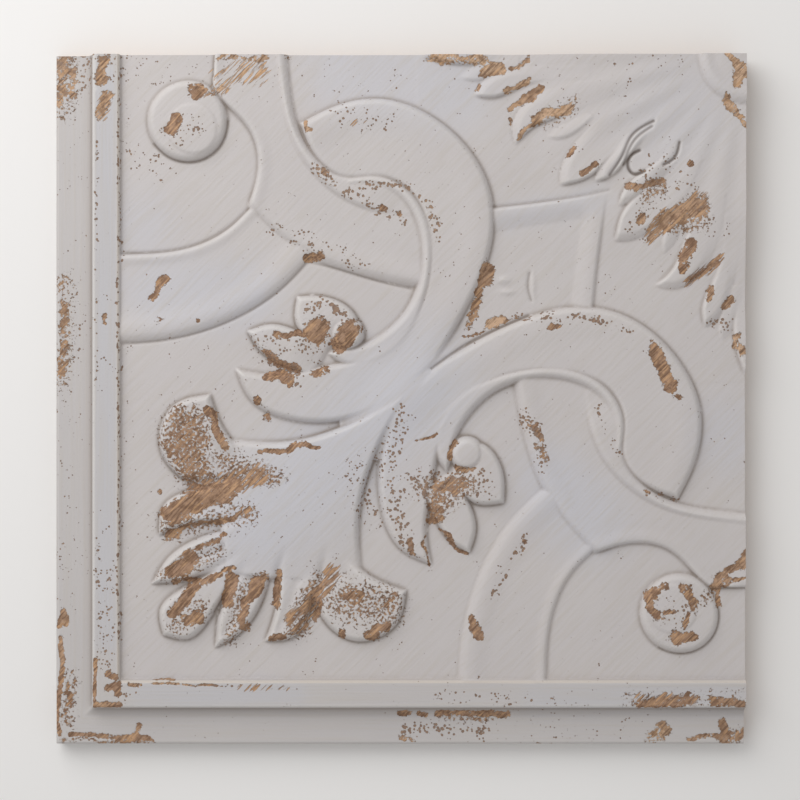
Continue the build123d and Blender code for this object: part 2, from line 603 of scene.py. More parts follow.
    # Quarter rosette about the plain corner: flutes on a dish, petals by their two edges, and a round boss
    rosette_from: Point = (210.0, 210.0)
    flute_depth: float = 0.35
    flute_angle: float = 13.0
    flute_start: tuple[float, float] = (30.0, 70.0)
    dish_height: float = 3.8
    dish_edge: tuple[float, float] = (84.0, 146.0)
    dish_soft: float = 0.4
    petals: tuple[Outline, ...] = (
        (
            [(213, 399), (226, 394.5), (243, 393), (262, 397), (290, 406)],
            [(290, 412), (220, 412), (213, 399)],
        ),
        (
            [(242, 376), (253, 374.5), (263, 377.5), (278, 383.5), (310, 386)],
            [(310, 394), (278, 393), (258, 390), (247, 384), (242, 376)],
        ),
        (
            [(267, 347), (273, 354), (280, 359), (289, 362.5), (302, 368), (326, 378)],
            [(322, 387), (298, 383), (280, 377), (269, 368), (265, 358), (267, 347)],
        ),
        (
            [(292.5, 324), (301, 325.5), (310, 329), (319, 337), (332, 351), (348, 366)],
            [(340, 374), (318, 364), (304, 352), (296, 341), (293, 332), (292.5, 324)],
        ),
        (
            [(312.5, 326), (321, 328.5), (329, 336), (338, 348), (350, 360)],
            [(345, 364), (330, 352), (321, 342), (314.5, 334), (312.5, 326)],
        ),
    )
    petal_rise: float = 2.7
    small_petals: tuple[Outline, ...] = (
        (
            [(233, 386), (241, 384), (252, 386), (268, 392)],
            [(268, 398), (250, 396), (240, 392), (233, 386)],
        ),
        (
            [(285, 352), (292, 351), (302, 355), (312, 364)],
            [(308, 366), (298, 361), (290, 357), (285, 352)],
        ),
    )
    small_petal_rise: float = 1.2
    petal_tip: tuple[float, float] = (14.0, 50.0)
    petal_round: float = 2.0
    petal_back: tuple[float, float] = (-2.0, 5.0)
    petal_soft: float = 0.5
    boss_radius: float = 33.0
    boss_section: Section = Section(6.6, 8.0)
    boss_groove: Roll = Roll(0.5, 22.0, 2.6)

    # Thin lines cut with the point of the knife, each with its depth; the paint is also painted dark along
    # them, as shadow and dirt in the grooves
    knife_lines: tuple[tuple[float, Line], ...] = (
        (0.55, [(218, 218), (237, 231), (252, 239), (274, 249)]),
        (0.8, [(321, 330), (328, 341), (333, 352), (346, 361)]),
        (0.7, [(329, 336), (335, 350), (345, 358)]),
        (0.9, [(341, 332), (335, 330.5), (331.5, 335), (333, 341), (338, 344)]),
        (0.8, [(352, 336), (358, 340), (361, 349)]),
        (0.45, [(276, 258), (274, 266), (275, 274)]),
        (0.45, [(39, 285), (73, 288), (100, 300), (112, 311)]),
        (0.28, [(252, 311.8), (290, 316), (321, 321.5)]),
        (0.45, [(57.2, 348.5), (64.8, 341.6), (76.5, 338.5), (88.2, 341.6), (96.8, 350.2), (100, 362)]),
        (0.35, [(384, 84.5), (385.5, 76.5), (382.3, 64.8), (373.8, 56.1), (362, 53), (350.2, 56.1)]),
        (0.4, [(39, 233), (55, 234), (93, 243), (128, 262), (146, 280)]),
        (0.4, [(147, 280), (158, 277.6), (185, 269.6), (206, 265)]),
    )
    knife_margin: float = 6.0
    knife_width: float = 0.95
    knife_deepening: float = 1.7

    def __post_init__(self) -> None:
        """Start from a flat field."""
        self.rise = np.zeros_like(self.grid.x)
        self.cut_shade = np.zeros_like(self.grid.x)

    def measure(self, outline: Outline, margin: float | None = None) -> tuple[Window, Grid]:
        """Measure the grid against an outline.

        Args:
            outline: The outline.
            margin: How far the window goes past it, if not as far as usual.

        Returns:
            The window round the outline, and how far inside it each point lies.
        """
        ring = ring_of(outline)
        part = self.grid.window(ring, margin or self.margin)
        return part, self.grid.depth(ring, part)

    def lay(self, heights: Grid, part: Window, soft: float, inside: Grid | bool = True) -> None:
        """Lay a form over what is carved so far.

        Args:
            heights: Heights of the form above the field.
            part: The window that it lies in.
            soft: Width that the corner to what lies below is filled over.
            inside: Which points belong to the form.
        """
        self.rise[part] = blend_up(self.rise[part], np.where(inside, heights, BELOW), soft)

    def lay_both(self, heights: Grid, part: Window, soft: float, inside: Grid) -> None:
        """Lay a form and its mirror image."""
        self.lay(heights, part, soft, inside)
        self.lay(heights.T, part[::-1], soft, inside.T)

    def lay_ring(self, outline: Outline, section: Section) -> None:
        """Lay a form of a plain section, and its mirror image."""
        part, depth = self.measure(outline)
        self.lay_both(section.heights(self.grid, part, depth), part, section.soft, depth > 0)

    def lay_disc(self, disc: tuple[float, float, float], section: Section) -> None:
        """Lay a round form that is highest in its middle, and its mirror image."""
        x, y, radius = disc
        part = self.grid.window(np.array([[x - radius, y - radius], [x + radius, y + radius]]), self.margin)
        away = self.grid.away((x, y), part)
        crown = section.crown * (1 - (away / radius) ** 2)
        heights = section.rise * shoulder(radius - away, section.width) + crown
        self.lay_both(heights, part, section.soft, away < radius)

    def carve_strap(self) -> None:
        """Carve the flat frame and its marks."""
        grid = self.grid
        part, depth = self.measure(self.strap + mirrored(self.strap))
        hollow_side = np.vstack([smooth_line(self.strap[0]), smooth_line(mirrored(self.strap[:1])[0])])
        inner = grid.distance(hollow_side, part)
        heights = self.strap_section.heights(grid, part, depth) * ease(inner, *self.strap_hollow)
        self.lay(heights, part, self.strap_section.soft, depth > 0)
        for x, y, length, width, rise in self.strap_marks:
            part = grid.window(np.array([[x, y]]), self.mark_margin)
            lump = ((grid.x[part] - x) / width) ** 2 + ((grid.y[part] - y) / length) ** 2
            self.rise[part] += rise * np.exp(-lump)

    def carve_bands(self) -> None:
        """Carve the stems, the ribbons and the ribbons' beads."""
        stem = Band(*self.stem, self.stem_base, *self.stem_rolls)
        ribbon_right = self.ribbon[1] + self.ribbon[2][1:]
        ribbon = Band(self.ribbon[0], ribbon_right, self.ribbon_base, *self.ribbon_rolls)
        for band, outline in ((stem, self.stem), (ribbon, self.ribbon)):
            part, depth = self.measure(outline)
            heights = band.heights(self.grid, part)
            self.lay_both(heights, part, band.soft, (depth > 0) & (heights > 0))
        self.lay_ring(self.ribbon_bead, self.ribbon_bead_section)

    def carve_scrolls(self) -> None:
        """Carve the scrolls and their beads."""
        section = self.scroll_section
        part, depth = self.measure(self.scroll)
        outer = self.grid.distance(smooth_line(self.scroll[0]), part)
        heights = (section.rise + self.scroll_roll.over(outer)) * shoulder(depth, section.width)
        self.lay_both(heights, part, section.soft, depth > 0)
        self.lay_ring(self.scroll_bead, self.scroll_bead_section)

    def carve_volutes_and_buds(self) -> None:
        """Carve the volutes with their eyes, and the buds."""
        self.lay_disc(self.volute, self.volute_section)
        self.lay_disc(self.eye, self.eye_section)
        for petal in self.bud_petals:
            self.lay_ring(petal, self.bud_section)
        self.lay_disc(self.bud_eye, self.bud_eye_section)

    def carve_leaf(self) -> None:
        """Carve the leaf's middle, its lobes and the creases between them."""
        grid = self.grid
        part, depth = self.measure(self.leaf + mirrored(self.leaf), self.leaf_margin)
        along = (grid.x[part] + grid.y[part]) / 2
        across = np.abs(grid.x[part] - grid.y[part]) / math.sqrt(2)
        fall = self.leaf_fall * (across / self.leaf_half_width) ** 2
        crown = self.leaf_base + self.leaf_swell.over(along) - fall
        heights = np.maximum(crown, self.leaf_least) * shoulder(depth, self.leaf_round)
        self.lay(heights, part, self.leaf_soft, depth > 0)
        for outline, spine in zip(self.lobes, self.lobe_spines):
            part, depth = self.measure(outline)
            section = replace(self.lobe_section, sinks=(Sink(*spine[0], *self.lobe_root),))
            vein = self.lobe_vein.over(grid.distance(smooth_line(spine), part))
            vein *= ease(depth, 0, self.vein_start)
            self.lay_both(section.heights(grid, part, depth) - vein, part, section.soft, depth > 0)
        part, depth = self.measure(self.middle_lobe + mirrored(self.middle_lobe))
        heights = self.middle_section.heights(grid, part, depth)
        self.lay(heights, part, self.middle_section.soft, depth > 0)
        for points in self.leaf_creases:
            line = smooth_line(points)
            part = grid.window(line, self.leaf_margin)
            length = math.dist(points[0], points[-1])
            near, far = (share * length for share in self.crease_fade)
            cut = self.crease.over(grid.distance(line, part))
            cut *= 1 - ease(grid.away(points[0], part), near, far)
            for side, groove in ((part, cut), (part[::-1], cut.T)):
                self.rise[side] -= np.where(self.rise[side] > self.crease_above, groove, 0)

    def carve_trunk(self) -> None:
        """Carve the trunk."""
        grid = self.grid
        part = grid.window(np.array([self.trunk_from, self.trunk_to]), 0)
        along = (grid.x[part] + grid.y[part]) / 2 - self.trunk_middle
        across = (grid.x[part] - grid.y[part]) / math.sqrt(2)
        swell = (along / self.trunk_half_length) ** 2 + (across / self.trunk_half_width) ** 2
        self.lay(self.trunk_height - self.trunk_fall * swell, part, self.trunk_soft)

    def carve_rosette(self) -> None:
        """Carve the rosette: soft flutes, hooked petals and the round boss."""
        grid = self.grid
        part = grid.window(np.array([self.rosette_from, (grid.side, grid.side)]), 0)
        left, down = grid.side - grid.x[part], grid.side - grid.y[part]
        radius = np.hypot(left, down)
        bearing = np.degrees(np.arctan2(left, down))
        waves = np.cos(np.radians(bearing * 360 / self.flute_angle))
        flutes = self.flute_depth * waves * ease(radius, *self.flute_start)
        dish = (self.dish_height + flutes) * (1 - ease(radius, *self.dish_edge))
        self.lay(dish, part, self.dish_soft)
        for rise, outlines in ((self.petal_rise, self.petals), (self.small_petal_rise, self.small_petals)):
            for outline in outlines:
                inside = grid.depth(ring_of(outline), part) > 0
                lower = grid.distance(smooth_line(outline[0]), part)
                upper = grid.distance(smooth_line(outline[1]), part)
                out = 1 - ease(grid.away(outline[0][0], part), *self.petal_tip)
                lip = rise * out * shoulder(lower, self.petal_round) * ease(upper, *self.petal_back)
                self.lay_both(dish + lip, part, self.petal_soft, inside)
        boss = self.boss_section.heights(grid, part, self.boss_radius - radius)
        boss -= self.boss_groove.over(radius)
        self.lay(boss, part, self.boss_section.soft, radius < self.boss_radius)

    def cut_lines(self) -> None:
        """Cut the thin lines, on one side of the diagonal only, and note where the paint gets a painted
        shadow along them.
        """
        for depth, points in self.knife_lines:
            line = smooth_line(points)
            part = self.grid.window(line, self.knife_margin)
            cut = depth * hump(self.grid.distance(line, part), 0, self.knife_width)
            self.rise[part] -= self.knife_deepening * cut
            np.maximum(self.cut_shade[part], cut, out=self.cut_shade[part])

    def carve(self) -> Grid:
        """Carve all the forms, low ones first.

        Returns:
            Heights above the field.
        """
        self.carve_strap()
        self.carve_bands()
        self.carve_scrolls()
        self.carve_volutes_and_buds()
        self.carve_leaf()
        self.carve_trunk()
        self.carve_rosette()
        self.cut_lines()
        return self.rise


class WearKind(Enum):
    """How the paint of a place has greyed or gone."""

    FADED = "faded"
    CHIP = "chip"
    SPECK = "speck"
    STREAK = "streak"
    RUB = "rub"


@dataclass(frozen=True)
class Wear:
    """One worn place: a line of points with a reach to each side, and how pale the bare wood is there."""

    kind: WearKind
    strength: float
    reach: float
    points: Line
    tone: float = WOOD_TONE
    # Where the wear is still full and where it has faded out, the window it is worked out in, and the least
    # of it that sets the wood's tone
    full_reaches: float = 0.2
    fade_reaches: float = 1.7
    fade_more: float = 0.4
    window_reaches: float = 2.0
    window_more: float = 6.0
    least: float = 0.05

    def add_to(self, grid: HeightMap, layer: Grid, tones: Grid) -> None:
        """Add this place to a layer of wear, and its paleness to the tones of the wood.

        Args:
            grid: The grid, strayed so that the place gets a ragged edge.
            layer: The layer of its kind of wear.
            tones: Paleness of the wood.
        """
        line = np.array(self.points * 2 if len(self.points) == 1 else self.points, float)
        part = grid.window(line, self.window_reaches * self.reach + self.window_more)
        full, gone = self.full_reaches * self.reach, self.fade_reaches * self.reach + self.fade_more
        amount = self.strength * (1 - ease(grid.distance(line, part), full, gone))
        tones[part] = np.where(amount > np.maximum(layer[part], self.least), self.tone, tones[part])
        np.maximum(layer[part], amount, out=layer[part])


FADED, CHIP, SPECK, STREAK, RUB = WearKind
WORN_PLACES = [
    # Paint greyed to a cooler white
    Wear(FADED, 1.0, 34, [(120, 130), (208, 208)]),
    Wear(FADED, 0.9, 24, [(290, 150), (310, 130)]),
    Wear(FADED, 0.8, 20, [(60, 262), (110, 262)]),
    Wear(FADED, 0.6, 20, [(50, 300)]),
    Wear(FADED, 0.75, 24, [(170, 390), (230, 380)]),
    Wear(FADED, 0.8, 6, [(30, 60), (30, 390)]),
    Wear(FADED, 0.5, 30, [(360, 365)]),
    Wear(FADED, 0.6, 22, [(390, 180)]),
    Wear(FADED, 0.55, 9, [(264, 306), (312, 316)]),
    Wear(FADED, 0.7, 7, [(50, 30), (140, 30)]),
    Wear(FADED, 0.6, 9, [(280, 26), (392, 26)]),
    # Ledge and strip on the left
    Wear(CHIP, 0.66, 5, [(3, 374), (4, 397)], 0.6),
    Wear(CHIP, 0.66, 3.4, [(9, 378), (10, 392)], 0.6),
    Wear(RUB, 0.5, 8, [(4, 368), (8, 398)], 0.7),
    Wear(CHIP, 0.62, 4.4, [(3, 216), (4, 258)], 0.6),
    Wear(RUB, 0.54, 7, [(3, 210), (5, 268)], 0.6),
    Wear(SPECK, 0.98, 1.4, [(13.5, 225), (13.5, 243)]),
    Wear(CHIP, 0.85, 2.0, [(1, 6), (1.4, 34), (2.6, 44), (2, 62)], 0.5),
    Wear(CHIP, 0.78, 2.2, [(1, 70), (4, 78), (6, 70)], 0.5),
    Wear(CHIP, 0.6, 3, [(6, 14), (8, 24), (7, 34)], 0.1),
    Wear(RUB, 0.56, 6, [(7, 12), (8, 38)], 0.1),
    Wear(CHIP, 0.78, 3.6, [(27, 384), (29, 396)], 0.6),
    Wear(CHIP, 0.7, 3.8, [(27, 364), (31, 375)], 0.7),
    Wear(STREAK, 1.0, 5, [(28, 364), (31, 376)], 0.7),
    Wear(CHIP, 0.75, 1.6, [(29.5, 245), (30, 249)], 0.6),
    Wear(SPECK, 1.0, 1.2, [(37.4, 60), (37.4, 392)]),
    Wear(SPECK, 0.92, 1.6, [(24.5, 205), (25, 350)]),
    Wear(SPECK, 0.9, 3, [(26, 52), (26, 120)]),
    Wear(SPECK, 0.92, 7, [(31, 46), (31, 100)]),
    Wear(CHIP, 0.95, 1.1, [(23.2, 23), (23.4, 50)]),
    Wear(CHIP, 0.9, 1.8, [(24, 24.5), (38, 24)], 0.6),
    Wear(CHIP, 0.85, 2.0, [(31, 42), (36, 40.5)]),
    Wear(CHIP, 0.85, 2.4, [(31, 34), (36, 36), (37, 30)]),
    Wear(SPECK, 1.0, 4, [(38, 26), (48, 30)]),
    # Ledge and strip below
    Wear(CHIP, 0.85, 1.6, [(8, 4.5), (38, 4), (53, 3.5)], 0.4),
    Wear(CHIP, 0.7, 2.4, [(38, 2), (53, 2)], 0.4),
    Wear(RUB, 0.62, 2.4, [(2, 1), (54, 1.5)], 0.3),
    Wear(CHIP, 0.85, 1.6, [(46, 5), (48, 11)], 0.4),
    Wear(CHIP, 0.7, 1.2, [(44, 35.5), (50, 35)], 0.7),
    Wear(CHIP, 0.74, 0.7, [(56, 35.6), (94, 35.6)], 0.6),
    Wear(SPECK, 1.05, 0.9, [(90, 35.4), (108, 35.4)]),
    Wear(STREAK, 0.86, 3, [(108, 33.5), (134, 33.5)], 0.1),
    Wear(SPECK, 0.9, 6, [(220, 29), (275, 28)]),
    Wear(CHIP, 0.72, 2, [(200, 17.5), (205, 17.4)], 0.5),
    Wear(CHIP, 0.72, 1.8, [(211, 17), (215, 16.6)], 0.4),
    Wear(CHIP, 0.82, 2.3, [(222, 17.6), (262, 17.6)], 0.3),
    Wear(RUB, 0.62, 2.6, [(228, 14.6), (252, 14.4)], 0.4),
    Wear(SPECK, 0.98, 6, [(202, 8), (252, 7)]),
    Wear(CHIP, 0.62, 2, [(200, 2.4), (207, 2)], 0.6),
    Wear(CHIP, 0.68, 5.4, [(347, 4), (353, 9)], 1.0),
    Wear(CHIP, 0.78, 1.8, [(367, 3), (386, 5)], 0.45),
    Wear(CHIP, 0.74, 5, [(389, 4), (396, 5)], 0.4),
    Wear(CHIP, 0.74, 2.4, [(389, 7), (388, 13)], 0.4),
    Wear(CHIP, 0.7, 3.2, [(338, 24.5), (366, 26)], 0.8),
    Wear(STREAK, 1.02, 5, [(340, 27), (368, 27)], 0.1),
    Wear(CHIP, 0.8, 1.0, [(345, 23), (353, 31)], 0.05),
    Wear(CHIP, 0.8, 1.0, [(358, 23), (366, 30.5)], 0.05),
    Wear(CHIP, 0.78, 3.4, [(382, 25.4), (398, 25)], 0.45),
    Wear(RUB, 0.45, 7, [(334, 27), (398, 27)]),
    # Upper left volute and neck
    Wear(CHIP, 1.0, 4.6, [(68, 357), (70, 364)]),
    Wear(CHIP, 0.85, 3.8, [(80, 377), (84, 381)]),
    Wear(STREAK, 0.88, 12, [(98, 384), (116, 392)], 1.0),
    Wear(CHIP, 0.62, 3, [(94, 399), (124, 399)], 1.0),
    Wear(STREAK, 0.95, 5, [(86, 379), (97, 382)], 0.9),
    Wear(CHIP, 0.8, 1.6, [(143, 362), (145, 357), (148, 357)], 0.8),
    Wear(SPECK, 0.86, 20, [(76, 356)]),
    Wear(SPECK, 0.85, 14, [(48, 342), (60, 332)]),
    # Scroll and bands on the upper left
    Wear(STREAK, 0.75, 3, [(172, 362), (182, 363)]),
    Wear(SPECK, 0.98, 5, [(151, 336), (160, 330), (173, 318), (188, 309), (202, 303)], 0.8),
    Wear(CHIP, 0.75, 2.2, [(158, 332)]),
    Wear(CHIP, 0.8, 2.6, [(190, 312)]),
    Wear(CHIP, 0.8, 2.6, [(200, 307)]),
    Wear(SPECK, 1.02, 4.5, [(176, 324), (200, 324), (212, 319), (219, 309), (221, 294)], 0.8),
    Wear(SPECK, 0.85, 9, [(126, 300), (150, 290), (178, 280)]),
    Wear(SPECK, 0.8, 12, [(168, 366), (190, 362)]),
    Wear(CHIP, 0.85, 3, [(149, 283), (154, 283)]),
    Wear(SPECK, 0.9, 3, [(136, 296), (146, 286)]),
    Wear(CHIP, 0.8, 2.4, [(58, 259), (66, 271)]),
    Wear(CHIP, 0.6, 3, [(60, 247)]),
    Wear(CHIP, 0.8, 1.4, [(83, 247)]),
    # Bud on the left
    Wear(CHIP, 1.05, 7.4, [(150, 240)], 0.3),
    Wear(CHIP, 1.05, 7, [(165, 235), (169, 241)], 0.3),
    Wear(CHIP, 0.8, 2.4, [(131, 238), (144, 238)]),
    Wear(CHIP, 0.85, 3.4, [(123, 228), (128, 220), (140, 218)], 0.2),
    Wear(CHIP, 0.95, 3, [(124, 213), (136, 213)], 0.3),
    Wear(CHIP, 0.7, 3.4, [(151, 216), (156, 219)]),
    Wear(SPECK, 1.0, 8, [(126, 224), (140, 214)], 0.2),
    Wear(SPECK, 1.1, 5, [(146, 250), (155, 257), (166, 250)]),
    Wear(SPECK, 0.92, 8, [(118, 236), (150, 228)]),
    Wear(CHIP, 0.8, 2.8, [(117, 201)]),
    Wear(CHIP, 0.8, 2.6, [(125, 193)]),
    # Leaf
    Wear(CHIP, 0.8, 1.4, [(121, 172), (152, 173)]),
    Wear(RUB, 0.78, 15, [(76, 184), (80, 164)], 0.25),
    Wear(CHIP, 0.6, 12, [(72, 176), (84, 154)], 0.25),
    Wear(CHIP, 0.85, 3.0, [(88, 193), (93, 182), (101, 174)], 0.2),
    Wear(RUB, 0.66, 10, [(100, 164), (126, 158)], 0.45),
    Wear(CHIP, 0.85, 7, [(68, 134), (84, 144), (102, 150)]),
    Wear(STREAK, 1.0, 11, [(84, 148), (120, 158)]),
    Wear(RUB, 0.6, 9, [(66, 128), (112, 134)]),
    Wear(CHIP, 0.75, 2.4, [(65, 122), (80, 129), (100, 130), (112, 136)]),
    Wear(CHIP, 0.9, 6, [(71, 102), (79, 109)]),
    Wear(RUB, 0.6, 6, [(64, 98), (96, 114)]),
    Wear(CHIP, 0.75, 2, [(70, 94), (84, 96), (106, 106)]),
    Wear(CHIP, 0.7, 1.4, [(75, 112), (100, 123)]),
    Wear(CHIP, 0.85, 3.6, [(80, 92), (70, 79)]),
    Wear(CHIP, 0.75, 5, [(78, 74), (84, 76)]),
    Wear(RUB, 0.6, 8, [(70, 70), (84, 80)]),
    Wear(CHIP, 0.95, 4.4, [(104, 98), (101, 82)]),
    Wear(CHIP, 0.85, 3.6, [(120, 96), (113, 82), (109, 70)]),
    Wear(RUB, 0.56, 7, [(100, 62), (112, 90)]),
    Wear(CHIP, 0.9, 2.6, [(130, 100), (129, 80)]),
    Wear(CHIP, 0.8, 2, [(125, 62), (134, 64)]),
    Wear(STREAK, 1.05, 9, [(140, 72), (160, 98)]),
    Wear(RUB, 0.62, 8, [(140, 68), (152, 96)]),
    Wear(CHIP, 0.8, 1.8, [(156, 84), (150, 72)], 0.1),
    Wear(RUB, 0.62, 16, [(170, 84), (190, 80)]),
    Wear(CHIP, 0.62, 6, [(172, 90), (176, 86)]),
    Wear(CHIP, 0.62, 5, [(192, 80), (196, 86)]),
    Wear(CHIP, 0.95, 3, [(167, 66)], 0.1),
    Wear(CHIP, 0.75, 2.4, [(182, 64), (192, 70)]),
    Wear(CHIP, 0.75, 2, [(59, 148)]),
    # Bud on the right
    Wear(CHIP, 0.66, 6, [(221, 132), (224, 150), (236, 152)], 0.5),
    Wear(RUB, 0.58, 8, [(218, 150), (226, 140), (240, 150)], 0.4),
    Wear(SPECK, 1.02, 14, [(212, 150), (246, 150)], 0.3),
    Wear(CHIP, 0.75, 1.8, [(228, 165), (231, 175)], 0.45),
    Wear(CHIP, 0.7, 2, [(232, 161), (243, 160)], 0.45),
    Wear(CHIP, 0.75, 1.2, [(210, 177), (218, 180)]),
    Wear(CHIP, 0.85, 2.4, [(208, 112), (209, 119)]),
    Wear(CHIP, 0.7, 1.0, [(217, 106), (218, 122)]),
    Wear(CHIP, 0.75, 1.2, [(224, 124), (240, 112.5)]),
    Wear(SPECK, 0.96, 10, [(198, 190), (194, 160), (195, 138), (206, 116)]),
    Wear(SPECK, 0.85, 14, [(182, 130), (176, 160)]),
    # Where the scrolls part, and the scroll on the right
    Wear(CHIP, 0.9, 3.6, [(252, 275), (247, 261)], 0.45),
    Wear(CHIP, 0.66, 3.2, [(246, 254), (240, 243)], 0.45),
    Wear(CHIP, 0.95, 3.4, [(254, 244), (260, 246)], 0.85),
    Wear(CHIP, 0.6, 1.0, [(237, 236), (275, 249)]),
    Wear(SPECK, 1.0, 3.4, [(268, 249), (285, 249), (312, 246), (335, 238)]),
    Wear(CHIP, 0.8, 1.8, [(288, 244), (292, 244)]),
    Wear(CHIP, 0.92, 4.0, [(346, 230), (353, 218), (358, 208)]),
    Wear(CHIP, 0.8, 1.8, [(362, 202)]),
    Wear(CHIP, 0.6, 3.4, [(274, 190), (280, 178), (284, 166)]),
    Wear(SPECK, 1.0, 7, [(271, 194), (284, 164)]),
    Wear(SPECK, 0.9, 3, [(314, 196), (320, 180), (328, 166)]),
    Wear(CHIP, 0.75, 2, [(343, 148)]),
    Wear(SPECK, 0.95, 3, [(346, 147), (360, 142)]),
    # Stem, volute and neck on the lower right
    Wear(CHIP, 0.85, 3.4, [(243, 71), (245, 62)]),
    Wear(SPECK, 1.0, 4, [(254, 86), (260, 100), (266, 112), (273, 121)]),
    Wear(CHIP, 0.75, 1.6, [(265, 112)]),
    Wear(CHIP, 0.75, 1.4, [(271.5, 120)]),
    Wear(CHIP, 0.75, 1.6, [(246, 42)]),
    Wear(CHIP, 0.74, 3.4, [(352, 92), (345, 88), (344, 80), (348, 76)], 0.45),
    Wear(CHIP, 0.74, 3.2, [(363, 93), (368, 90), (370, 80)], 0.45),
    Wear(RUB, 0.55, 4, [(350, 90), (344, 82), (350, 74)], 0.45),
    Wear(CHIP, 0.8, 1.8, [(353, 78), (356, 78)], 0.45),
    Wear(CHIP, 0.8, 1.8, [(366, 76), (363, 70)], 0.45),
    Wear(CHIP, 0.95, 3.6, [(357, 62), (369, 64)], 0.45),
    Wear(SPECK, 0.9, 18, [(360, 78)]),
    Wear(CHIP, 0.8, 1.8, [(384, 94), (385, 80)], 0.45),
    Wear(CHIP, 0.85, 2.2, [(382, 92), (390, 100), (399, 107)], 0.45),
    Wear(CHIP, 0.8, 1.8, [(388, 94), (400, 96)], 0.45),
    Wear(RUB, 0.55, 5, [(376, 84), (386, 96)], 0.45),
    # Rosette and the plain edges
    Wear(SPECK, 0.86, 12, [(336, 300), (350, 336), (384, 300)], 0.2),
    Wear(CHIP, 0.68, 4, [(216, 398), (250, 396)], 1.0),
    Wear(CHIP, 0.9, 3.2, [(250, 389), (261, 393)], 0.9),
    Wear(CHIP, 0.75, 1.2, [(267, 393), (277, 394)], 0.7),
    Wear(CHIP, 0.8, 1.6, [(262, 378), (275, 383.5)], 0.9),
    Wear(CHIP, 0.8, 1.4, [(245, 380), (246, 382)], 0.5),
    Wear(CHIP, 0.85, 2.6, [(267, 369), (281, 379)], 0.5),
    Wear(CHIP, 0.8, 1.4, [(265, 360), (266, 363)], 0.5),
    Wear(CHIP, 0.8, 1.8, [(270, 351), (277, 358)], 0.7),
    Wear(CHIP, 0.9, 3.4, [(279, 361), (287, 367), (296, 367)], 0.95),
    Wear(RUB, 0.5, 6, [(284, 360), (300, 372)], 0.8),
    Wear(CHIP, 0.75, 1.6, [(296, 341), (299, 346)], 0.2),
    Wear(CHIP, 0.8, 1.8, [(304, 331), (312, 337)], 0.3),
    Wear(CHIP, 0.8, 2.2, [(332, 322), (351, 328)], 0.3),
    Wear(RUB, 0.62, 6, [(342, 318), (350, 324)], 0.4),
    Wear(CHIP, 0.85, 3, [(338, 306)]),
    Wear(CHIP, 0.7, 1.4, [(331, 303)]),
    Wear(CHIP, 0.8, 2, [(344, 295), (352, 299)]),
    Wear(CHIP, 0.78, 8, [(357, 302), (366, 309), (374, 312)], 0.48),
    Wear(STREAK, 1.0, 9, [(346, 296), (376, 316)], 0.48),
    Wear(RUB, 0.6, 6, [(362, 296), (376, 304)], 0.48),
    Wear(CHIP, 0.82, 3.0, [(364, 277), (370, 290)], 0.15),
    Wear(STREAK, 0.98, 6, [(370, 269), (384, 283)], 0.2),
    Wear(CHIP, 0.75, 2, [(371, 269), (382, 280)], 0.2),
    Wear(CHIP, 0.8, 2.2, [(378, 259), (381, 266)], 0.4),
    Wear(CHIP, 0.8, 2.8, [(389, 254), (391, 260)], 0.5),
    Wear(SPECK, 1.05, 5, [(380, 244), (392, 246)]),
    Wear(CHIP, 0.7, 2.4, [(395, 237), (397, 226)], 0.85),
    Wear(CHIP, 0.75, 2.4, [(367, 334)]),
    Wear(CHIP, 0.85, 3.4, [(396, 382), (397, 396)], 0.85),
    Wear(CHIP, 0.75, 2.6, [(388, 375), (398, 365)], 0.85),
]


class Run(Enum):
    """Which way a pattern is drawn out: along x, along the slant of the tool marks or along the border."""

    PLAIN = "plain"
    SLANT = "slant"
    BORDER = "border"


@dataclass(frozen=True)
class Pattern:
    """Noise by the length and width of its lumps, and the way it is drawn out."""

    length_mm: float
    width_mm: float
    detail: float
    run: Run = Run.PLAIN


@dataclass(frozen=True)
class Loss:
    """Where a layer of wear and a noise together pass a cut, the paint is gone."""

    layer: str
    noise: str
    contrast: float
    cut: float
    edge: float


@dataclass(frozen=True)
class Tint:
    """Colour laid over another where a noise or a layer runs from a low value to a high one."""

    colour: str
    source: str
    low: float
    high: float
    most: float


@dataclass(frozen=True)
class Bump:
    """Fine relief from a noise, too small for the mesh."""

    source: str
    height_mm: float
    strength: float


